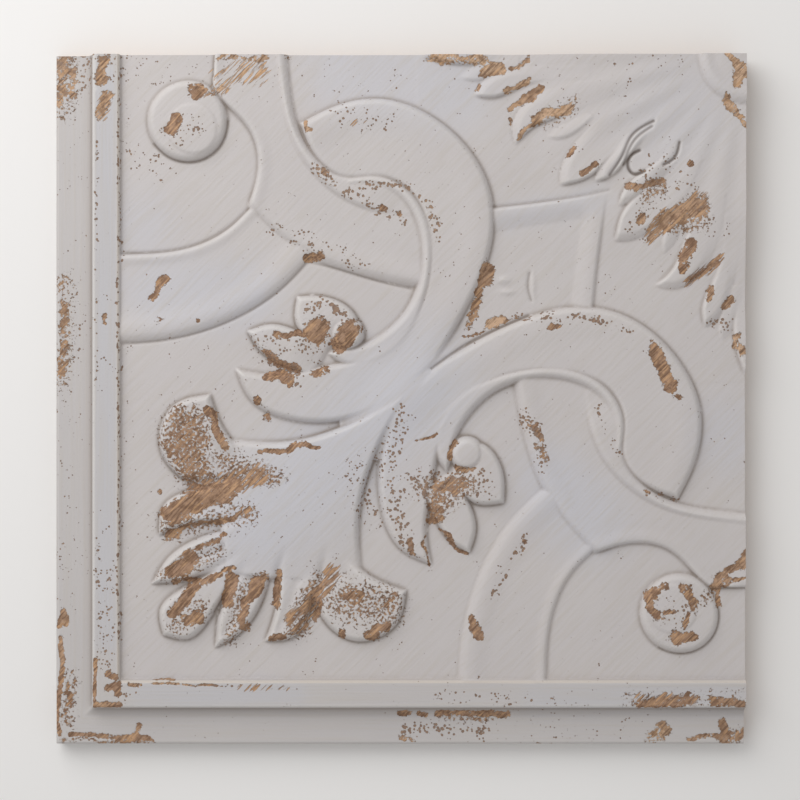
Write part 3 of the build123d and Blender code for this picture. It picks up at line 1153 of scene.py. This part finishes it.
@dataclass(frozen=True)
class DistressedPaint:
    """Chalk paint brushed on carved wood and rubbed through.

    It gives the eye a dry warm white, painted darker in the hollows and knife lines as shade and dirt and
    lighter on the edges as a painted highlight, fine slanting tool marks under the paint, and brown wood with
    crisp ragged edges where the paint has chipped or worn away.
    """

    name: str = "Chalk paint, brushed on carved wood and rubbed through"
    paint: str = "C8C2C0"
    wood: str = "9F7E66"
    paint_roughness: float = 0.62
    wood_roughness: float = 0.78
    ior: float = 1.5
    chip_depth_mm: float = 0.35
    chip_strength: float = 0.9
    speck_gap_mm: float = 2.0
    fleck_lumps: float = 1.6
    crumb_share: float = 0.5
    slant_turn: float = -math.pi / 4
    noise_roughness: float = 0.55
    layers: tuple[str, ...] = ("cavity", "cut", "edge", "rubbed", "tone", "field", "inward", "outer")
    # The specks and the fibres of the real wood are finer: they are drawn coarser, to show at this size
    patterns: dict[str, Pattern] = field(
        default_factory=lambda: {
            "blotch": Pattern(4.5, 4.5, 6),
            "crumbs": Pattern(1.6, 1.6, 4),
            "dimples": Pattern(1.5, 1.5, 2),
            "marks": Pattern(26.0, 1.7, 3, Run.SLANT),
            "strokes": Pattern(70.0, 1.9, 3, Run.BORDER),
            "fibres": Pattern(12.0, 1.1, 5, Run.SLANT),
            "scratches": Pattern(14.0, 1.4, 4, Run.SLANT),
            "cloud": Pattern(55.0, 55.0, 3),
        }
    )
    losses: tuple[Loss, ...] = (
        Loss("chip", "ragged", 2.2, 1.62, 0.05),
        Loss("speck", "flecks", 1.0, 1.42, 0.05),
        Loss("streak", "scratches", 1.9, 1.85, 0.08),
        Loss("rub", "crumbs", 2.2, 1.75, 0.12),
    )
    coat_tints: tuple[Tint, ...] = (
        Tint("C5BFBE", "cloud", 0.35, 0.65, 0.8),
        Tint("C4C3C9", "faded", 0.0, 1.0, 0.8),
        Tint("B0AEAD", "field", 1.0, 0.0, 0.3),
        Tint("BDB5AC", "marks", 0.45, 0.72, 0.4),
        # Painted shade and dirt in the hollows and creases, darkest where the carving is most sunk
        Tint("7E7166", "cavity", 0.0, 1.0, 1.0),
        # Painted shadow and dirt in the knife lines, darker than the creases
        Tint("4E4037", "cut", 0.2, 0.9, 0.75),
        # Painted highlight: the convex edges are painted lighter
        Tint("DDDAD6", "edge", 0.0, 1.0, 1.0),
        Tint("C2AD94", "rubbed", 0.2, 1.0, 0.4),
    )
    wood_tints: tuple[Tint, ...] = (
        Tint("D8B798", "tone", 0.2, 1.0, 0.9),
        Tint("6A4B34", "blotch", 0.46, 0.6, 0.6),
        Tint("674C38", "fibres", 0.46, 0.62, 0.8),
        Tint("CEA47C", "scratches", 0.5, 0.66, 0.7),
        Tint("56412F", "crumbs", 0.55, 0.72, 0.6),
        Tint("8D796C", "gone_speck", 0.0, 1.0, 0.6),
    )
    bumps: tuple[Bump, ...] = (Bump("marks", 0.5, 0.35), Bump("dimples", 0.12, 0.5))

    def sources(self, tree: Tree) -> dict[str, Socket]:
        """Add the layers of the mesh and the noises.

        Args:
            tree: The material's node tree.

        Returns:
            The output of each layer and noise, by name.
        """
        place = add_node(tree, "TexCoord", out="Object")
        mm = add_node(tree, "VectorMath", {0: place, "Scale": 1 / MM}, operation="SCALE")
        slant = add_node(tree, "Mapping", {"Vector": mm, "Rotation": (0, 0, self.slant_turn)})
        names = [kind.value for kind in WearKind] + list(self.layers)
        source = {name: add_node(tree, "Attribute", out="Fac", attribute_name=name) for name in names}
        border = add_node(tree, "CombineXYZ", {"X": source["outer"], "Y": source["inward"]})
        ways = {Run.PLAIN: mm, Run.SLANT: slant, Run.BORDER: border}
        for name, pattern in self.patterns.items():
            scale = (1 / pattern.length_mm, 1 / pattern.width_mm, 1 / pattern.width_mm)
            drawn = add_node(tree, "Mapping", {"Vector": ways[pattern.run], "Scale": scale})
            grain = {"Scale": 1.0, "Detail": pattern.detail, "Roughness": self.noise_roughness}
            source[name] = add_node(tree, "TexNoise", {"Vector": drawn, **grain}, out="Fac")
        mixed = {0: source["field"], 2: source["strokes"], 3: source["marks"]}
        source["marks"] = add_node(tree, "Mix", mixed)
        dots = add_node(tree, "TexVoronoi", {"Vector": mm, "Scale": 1 / self.speck_gap_mm}, out="Distance")
        lumps = add_node(tree, "Math", {0: source["blotch"], 1: self.fleck_lumps}, operation="MULTIPLY")
        source["flecks"] = add_node(tree, "Math", {0: lumps, 1: dots}, operation="SUBTRACT")
        mixed = {0: self.crumb_share, 2: source["blotch"], 3: source["crumbs"]}
        source["ragged"] = add_node(tree, "Mix", mixed)
        return source

    def bare(self, tree: Tree, source: dict[str, Socket]) -> Socket:
        """Add up where the paint is gone, and note each loss among the sources.

        Args:
            tree: The material's node tree.
            source: The layers and noises, which get one more for each loss.

        Returns:
            1 on bare wood and 0 on paint.
        """
        bare = None
        for loss in self.losses:
            sums = {0: source[loss.noise], 1: loss.contrast, 2: source[loss.layer]}
            lifted = add_node(tree, "Math", sums, operation="MULTIPLY_ADD")
            span = {"From Min": loss.cut - loss.edge, "From Max": loss.cut + loss.edge}
            worn = add_node(tree, "MapRange", {"Value": lifted, **span}, interpolation_type="SMOOTHSTEP")
            source["gone_" + loss.layer] = worn
            both = {0: bare, 1: worn}
            bare = worn if bare is None else add_node(tree, "Math", both, operation="MAXIMUM")
        return bare

    def build(self) -> bpy.types.Material:
        """Build the node material.

        Returns:
            The material, which reads the wear, painted shade, painted highlight and tone layers of the mesh.
        """
        material = new_material(self.name)
        tree = material.node_tree
        source = self.sources(tree)
        bare = self.bare(tree, source)
        layered = []
        for ground, tints in ((self.paint, self.coat_tints), (self.wood, self.wood_tints)):
            colour = linear(ground)
            for tint in tints:
                span = {"From Min": tint.low, "From Max": tint.high, "To Max": tint.most}
                share = add_node(tree, "MapRange", {"Value": source[tint.source], **span})
                mixed = {0: share, 6: colour, 7: linear(tint.colour)}
                colour = add_node(tree, "Mix", mixed, out=2, data_type="RGBA")
            layered.append(colour)
        colour = add_node(tree, "Mix", {0: bare, 6: layered[0], 7: layered[1]}, out=2, data_type="RGBA")
        span = {"To Min": self.paint_roughness, "To Max": self.wood_roughness}
        roughness = add_node(tree, "MapRange", {"Value": bare, **span})
        size = {"Distance": self.chip_depth_mm * MM, "Strength": self.chip_strength}
        normal = add_node(tree, "Bump", {"Height": bare, **size}, invert=True)
        for bump in self.bumps:
            size = {"Distance": bump.height_mm * MM, "Strength": bump.strength}
            normal = add_node(tree, "Bump", {"Height": source[bump.source], **size, "Normal": normal})
        look = {"Base Color": colour, "Roughness": roughness, "Normal": normal, "IOR": self.ior}
        add_node(tree, "OutputMaterial", {"Surface": add_node(tree, "BsdfPrincipled", look)})
        return material


@dataclass(frozen=True)
class SawnWood:
    """Bare wood, sawn and left unpainted on the back and the cut sides.

    It gives the eye a dry brown with a long straight grain, and the faint ridges that a saw leaves.
    """

    name: str = "Wood, sawn and unpainted"
    early: str = "A9855F"
    late: str = "86654A"
    roughness: float = 0.8
    ior: float = 1.5
    grain_mm: tuple[float, float] = (120.0, 3.5)
    grain_detail: float = 6.0
    grain_waver: float = 0.6
    grain_low: float = 0.35
    grain_high: float = 0.65
    kerf_mm: float = 5.0
    kerf_turn: float = 0.2
    kerf_waver: float = 3.0
    grain_relief: float = 0.6
    relief_mm: float = 0.2
    relief_strength: float = 0.5

    def build(self) -> bpy.types.Material:
        """Build the node material.

        Returns:
            The material.
        """
        material = new_material(self.name)
        tree = material.node_tree
        place = add_node(tree, "TexCoord", out="Object")
        scale = (1 / MM / self.grain_mm[0], 1 / MM / self.grain_mm[1], 1 / MM / self.grain_mm[1])
        drawn = add_node(tree, "Mapping", {"Vector": place, "Scale": scale})
        grain = {"Scale": 1.0, "Detail": self.grain_detail, "Distortion": self.grain_waver}
        rings = add_node(tree, "TexNoise", {"Vector": drawn, **grain}, out="Fac")
        span = {"From Min": self.grain_low, "From Max": self.grain_high}
        share = add_node(tree, "MapRange", {"Value": rings, **span})
        mixed = {0: share, 6: linear(self.late), 7: linear(self.early)}
        colour = add_node(tree, "Mix", mixed, out=2, data_type="RGBA")
        across = add_node(tree, "Mapping", {"Vector": place, "Rotation": (0, 0, self.kerf_turn)})
        waves = {"Scale": WAVE_LENGTH / MM / self.kerf_mm, "Distortion": self.kerf_waver}
        kerf = add_node(tree, "TexWave", {"Vector": across, **waves}, out="Fac")
        both = add_node(tree, "Math", {0: rings, 1: self.grain_relief, 2: kerf}, operation="MULTIPLY_ADD")
        size = {"Distance": self.relief_mm * MM, "Strength": self.relief_strength}
        bump = add_node(tree, "Bump", {"Height": both, **size})
        look = {"Base Color": colour, "Roughness": self.roughness, "Normal": bump, "IOR": self.ior}
        add_node(tree, "OutputMaterial", {"Surface": add_node(tree, "BsdfPrincipled", look)})
        return material


@dataclass(frozen=True)
class Patina:
    """Painted shade and dirt in the hollows, painted highlights on the edges and the rubbed inner edge of the
    strip, from the shape alone.
    """

    fine_mm: float = 0.9
    broad_mm: float = 3.0
    # Painted shade and dirt in the creases, from a fine and a broad blur of the heights
    fine_dirt_and_shade: float = 1.35
    broad_dirt_and_shade: float = 0.14
    dirt_and_shade_start: float = 0.06
    dirt_and_shade_most: float = 0.8
    # Painted highlight on the convex edges
    highlight_gain: float = 1.1
    highlight_start: float = 0.04
    highlight_most: float = 0.5
    rubbed_inside_mm: float = 0.9
    rubbed_spread_mm: float = 0.8
    field_edge_mm: float = 0.6
    # Less painted shade and dirt lies along the foot of the strip
    strip_foot_share: float = 0.75
    strip_foot_past_mm: float = 1.0
    strip_foot_spread_mm: float = 3.0

    def layers(self, grid: HeightMap, border: Border, height: Grid) -> dict[str, Grid]:
        """Work out the layers.

        Args:
            grid: The grid of the panel.
            border: The border.
            height: The finished heights.

        Returns:
            The layers by name, with the distances that patterns along the border are drawn by.
        """
        inward, strip_end = np.minimum(grid.x, grid.y), border.width
        fine = grid.blurred(height, self.fine_mm) - height
        broad = grid.blurred(height, self.broad_mm) - height
        strip_foot_fade = 1 - self.strip_foot_share * hump(inward, strip_end + self.strip_foot_past_mm, self.strip_foot_spread_mm)
        dirt_and_shade = self.fine_dirt_and_shade * fine + self.broad_dirt_and_shade * broad - self.dirt_and_shade_start
        return {
            # Painted shade and dirt: darker where the surface lies below its blurred self, in creases and
            # hollows
            "cavity": strip_foot_fade * np.clip(dirt_and_shade, 0, self.dirt_and_shade_most),
            # Painted highlight on the convex edges, where the surface stands above its blurred self
            "edge": np.clip(-self.highlight_gain * fine - self.highlight_start, 0, self.highlight_most),
            "rubbed": hump(inward, strip_end - self.rubbed_inside_mm, self.rubbed_spread_mm),
            "field": ease(inward, strip_end - self.field_edge_mm, strip_end + self.field_edge_mm),
            "inward": inward,
            "outer": np.maximum(grid.x, grid.y),
        }


@dataclass
class CarvedPanel:
    """The panel: one closed mesh from the border, the carving and the wear."""

    node: str = "carved_panel"
    faces_limit: int = 190000
    wall_slope: float = 0.05
    grid: HeightMap = field(default_factory=HeightMap)
    border: Border = field(default_factory=Border)
    patina: Patina = Patina()
    height: Grid = field(init=False)
    layers: dict[str, Grid] = field(init=False)

    # How the hand strays from the drawing, how it leaves the surface, and the limits of the height
    drift: tuple[Noise, Noise] = (Noise(0.5, 40, 1), Noise(0.5, 40, 2))
    uneven: Noise = Noise(0.10, 22, 3)
    deepest_cut: float = 0.5
    soft_mm: float = 0.35
    lowest_mm: float = 1.0
    top_gap_mm: float = 0.05

    # How worn places stray to a ragged edge, less on the border, specks everywhere, and how deep chips lie
    ragged_x: tuple[Noise, Noise] = (Noise(0.8, 5, 4), Noise(1.2, 13, 5))
    ragged_y: tuple[Noise, Noise] = (Noise(0.8, 5, 6), Noise(1.2, 13, 7))
    border_stray: float = 0.3
    speck_base: float = 0.53
    speck_change: Noise = Noise(0.08, 60, 8)
    chip_mm: float = 0.2
    chip_range: tuple[float, float] = (0.4, 0.8)

    # How far the painted shade and dirt in the creases, and the wear, lift the surface that says where the
    # mesh is kept fine
    guide_crease_dirt_and_shade: float = 1.2
    guide_wear: float = 0.6

    def shape(self) -> None:
        """Work out the heights and the layers of wear."""
        grid, border = self.grid, self.border
        carving = Carving(grid)
        carved = carving.carve()
        x = grid.x + self.drift[0].over(grid)
        y = grid.y + self.drift[1].over(grid)
        carved = grid.sample(carved, x, y)
        carved += self.uneven.over(grid)
        inward = np.minimum(grid.x, grid.y)
        board = border.profile(inward)
        relief = np.maximum(board + carved, border.field_height - self.deepest_cut)
        height = np.where(inward < border.width, board, relief)
        self.layers = {kind.value: np.zeros_like(height) for kind in WearKind}
        tones = np.full_like(height, WOOD_TONE)
        ragged = HeightMap(grid.side, grid.steps)
        stray = np.where(inward < border.width, self.border_stray, 1.0)
        ragged.x += stray * sum(noise.over(grid) for noise in self.ragged_x)
        ragged.y += stray * sum(noise.over(grid) for noise in self.ragged_y)
        for place in WORN_PLACES:
            place.add_to(ragged, self.layers[place.kind.value], tones)
        everywhere = self.speck_base + self.speck_change.over(grid)
        self.layers["speck"] = np.maximum(self.layers["speck"], everywhere)
        chipped = self.chip_mm * ease(self.layers["chip"], *self.chip_range)
        height = grid.blurred(height, self.soft_mm) - chipped
        self.height = np.clip(height, self.lowest_mm, cad_box[1].z / MM - self.top_gap_mm)
        self.layers |= self.patina.layers(grid, border, self.height)
        # Where the knife lines get their painted shadow and dirt
        self.layers["cut"] = grid.sample(carving.cut_shade, x, y)
        self.layers["tone"] = tones

    def top_mesh(self) -> bpy.types.Mesh:
        """The carved face as an open grid, thinned where neither its height, its wear nor its painted shade
        changes.

        Returns:
            The mesh, in metres.
        """
        grid, side, half = self.grid, self.grid.steps + 1, self.grid.side / 2
        wear = sum(self.layers[kind.value] for kind in WearKind)
        guide = self.height + self.guide_crease_dirt_and_shade * self.layers["cavity"] + self.guide_wear * wear
        places = np.stack([grid.x - half, grid.y - half, guide], axis=-1) * MM
        first = (np.arange(side - 1)[:, None] * side + np.arange(side - 1)).ravel()
        quads = np.stack([first, first + 1, first + side + 1, first + side], axis=1)
        mesh = bpy.data.meshes.new("panel_grid")
        mesh.vertices.add(side * side)
        mesh.vertices.foreach_set("co", places.astype(np.float32).ravel())
        mesh.loops.add(quads.size)
        mesh.loops.foreach_set("vertex_index", quads.astype(np.int32).ravel())
        mesh.polygons.add(len(quads))
        mesh.polygons.foreach_set("loop_start", np.arange(0, quads.size, 4, dtype=np.int32))
        mesh.update(calc_edges=True)
        carrier = put_in_scene("panel_grid", mesh)
        thin = carrier.modifiers.new("thin", "DECIMATE")
        thin.ratio = self.faces_limit / (2 * len(quads))
        dressed = carrier.evaluated_get(bpy.context.evaluated_depsgraph_get())
        thinned = bpy.data.meshes.new_from_object(dressed)
        bpy.data.objects.remove(carrier)
        bpy.data.meshes.remove(mesh)
        x, y, _ = self.spots(thinned)
        places = np.stack([x - half, y - half, grid.sample(self.height, x, y)], axis=-1) * MM
        thinned.vertices.foreach_set("co", places.astype(np.float32).ravel())
        return thinned

    def spots(self, mesh: bpy.types.Mesh) -> tuple[Grid, Grid, Grid]:
        """Where a mesh's points lie on the grid.

        Args:
            mesh: A mesh of the panel.

        Returns:
            Places to the right and up, and heights above the back, in millimetres.
        """
        places = np.empty(len(mesh.vertices) * 3, np.float32)
        mesh.vertices.foreach_get("co", places)
        places = places.reshape(-1, 3).astype(float) / MM
        x, y = np.clip(places[:, :2].T + self.grid.side / 2, 0, self.grid.side)
        return x, y, places[:, 2]

    def close(self, mesh: bpy.types.Mesh) -> None:
        """Add the sides, painted along the border and sawn along the plain edges, and the flat back."""
        shell = bmesh.new()
        shell.from_mesh(mesh)
        rim = [edge for edge in shell.edges if edge.is_boundary]
        walls = bmesh.ops.extrude_edge_only(shell, edges=rim)["geom"]
        for part in walls:
            if isinstance(part, bmesh.types.BMVert):
                part.co.z = 0.0
        plain = (self.grid.side / 2 - self.grid.pitch / 4) * MM
        for part in walls:
            if isinstance(part, bmesh.types.BMFace):
                middle = part.calc_center_median()
                part.material_index = int(max(middle.x, middle.y) > plain)
        foot = [part for part in walls if isinstance(part, bmesh.types.BMEdge) and part.is_boundary]
        back = bmesh.ops.contextual_create(shell, geom=foot)["faces"]
        for face in back:
            face.material_index = 1
        bmesh.ops.recalc_face_normals(shell, faces=shell.faces)
        shell.to_mesh(mesh)
        shell.free()

    def shade(self, mesh: bpy.types.Mesh) -> None:
        """Give the carved face the normals and the wear, painted shade and painted highlight layers of the
        full height map.
        """
        x, y, z = self.spots(mesh)
        at_foot = {"inward": -self.border.edge_height, "outer": np.maximum(x, y)}
        for name, values in self.layers.items():
            layer = mesh.attributes.new(name, "FLOAT", "POINT")
            there = np.where(z > 0, self.grid.sample(values, x, y), at_foot.get(name, 0))
            layer.data.foreach_set("value", there.astype(np.float32))
        up, right = (self.grid.sample(fall, x, y) for fall in np.gradient(self.height, self.grid.pitch))
        slopes = np.stack([-right, -up, np.ones_like(x)], axis=1)
        slopes /= np.linalg.norm(slopes, axis=1, keepdims=True)
        corners = np.empty(len(mesh.loops), np.int32)
        mesh.loops.foreach_get("vertex_index", corners)
        normals = slopes[corners]
        mesh.polygons.foreach_set("use_smooth", np.ones(len(mesh.polygons), bool))
        for face in mesh.polygons:
            if face.normal.z < self.wall_slope:
                normals[list(face.loop_indices)] = face.normal
        mesh.normals_split_custom_set(normals)

    def build(self) -> bpy.types.Object:
        """Build the panel.

        Returns:
            The panel, riding on the frame in place of its plain solid.
        """
        self.shape()
        mesh = self.top_mesh()
        mesh.name = "carved_panel_face"
        mesh.materials.append(DistressedPaint().build())
        mesh.materials.append(SawnWood().build())
        self.close(mesh)
        self.shade(mesh)
        panel = put_in_scene("carved_panel_worn", mesh)
        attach(panel, "root")
        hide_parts(self.node)
        return panel


@dataclass
class Studio:
    """Pale floor, soft light from the upper left and a camera that looks straight down."""

    floor_colour: str = "F0EEEC"
    floor_roughness: float = 0.9
    floor_side: float = 6.0
    floor_gap_mm: float = 0.2
    key_place: tuple[float, float, float] = (-0.58, 0.72, 0.84)
    key_size: float = 1.2
    key_power: float = 10.4
    fill: float = 0.52
    frame_width: float = 0.46
    lens: float = 85.0

    def lay_floor(self) -> bpy.types.Object:
        """Lay the floor just under the panel.

        Returns:
            The floor.
        """
        half, low = self.floor_side / 2, -self.floor_gap_mm * MM
        mesh = bpy.data.meshes.new("floor")
        corners = [(-half, -half, low), (half, -half, low), (half, half, low), (-half, half, low)]
        mesh.from_pydata(corners, [], [(0, 1, 2, 3)])
        material = bpy.data.materials.new("Floor, matt pale paint")
        material.use_nodes = True
        shader = material.node_tree.nodes["Principled BSDF"]
        shader.inputs["Base Color"].default_value = linear(self.floor_colour)
        shader.inputs["Roughness"].default_value = self.floor_roughness
        mesh.materials.append(material)
        floor = put_in_scene("floor", mesh)
        return floor

    def hang_light(self) -> None:
        """Hang the key light and set the even light of the room."""
        lamp = bpy.data.lights.new("key", "AREA")
        lamp.size = self.key_size
        lamp.energy = self.key_power
        key = put_in_scene("key", lamp)
        key.location = self.key_place
        key.rotation_euler = (-Vector(self.key_place)).to_track_quat("-Z", "Y").to_euler()
        world = bpy.data.worlds.new("room")
        bpy.context.scene.world = world
        world.use_nodes = True
        tree = world.node_tree
        tree.nodes.clear()
        rays = add_node(tree, "LightPath").node.outputs
        seen = rays["Is Camera Ray"]
        for ray in ("Is Glossy Ray", "Is Transmission Ray"):
            seen = add_node(tree, "Math", {0: seen, 1: rays[ray]}, operation="MAXIMUM")
        strength = add_node(tree, "MapRange", {"Value": seen, "To Min": self.fill, "To Max": 1.0})
        sky = add_node(tree, "Background", {"Color": (1, 1, 1, 1), "Strength": strength})
        add_node(tree, "OutputWorld", {"Surface": sky})

    def set_camera(self) -> None:
        """Set the camera above the middle of the panel."""
        data = bpy.data.cameras.new("camera")
        data.lens = self.lens
        camera = put_in_scene("camera", data)
        camera.location = (0, 0, self.frame_width * self.lens / data.sensor_width + cad_box[1].z)
        bpy.context.scene.camera = camera

    def build(self) -> None:
        """Set up the floor, the light and the camera."""
        self.lay_floor()
        self.hang_light()
        self.set_camera()
        bpy.context.scene.view_settings.view_transform = "Standard"


def main() -> None:
    """Build the panel and the studio."""
    logging.basicConfig(level=logging.INFO, format="%(message)s")
    panel = CarvedPanel().build()
    log.info("%s: %d faces", panel.name, len(panel.data.polygons))
    Studio().build()
    log.info("floor, light and camera")


if __name__ == "__main__":
    main()
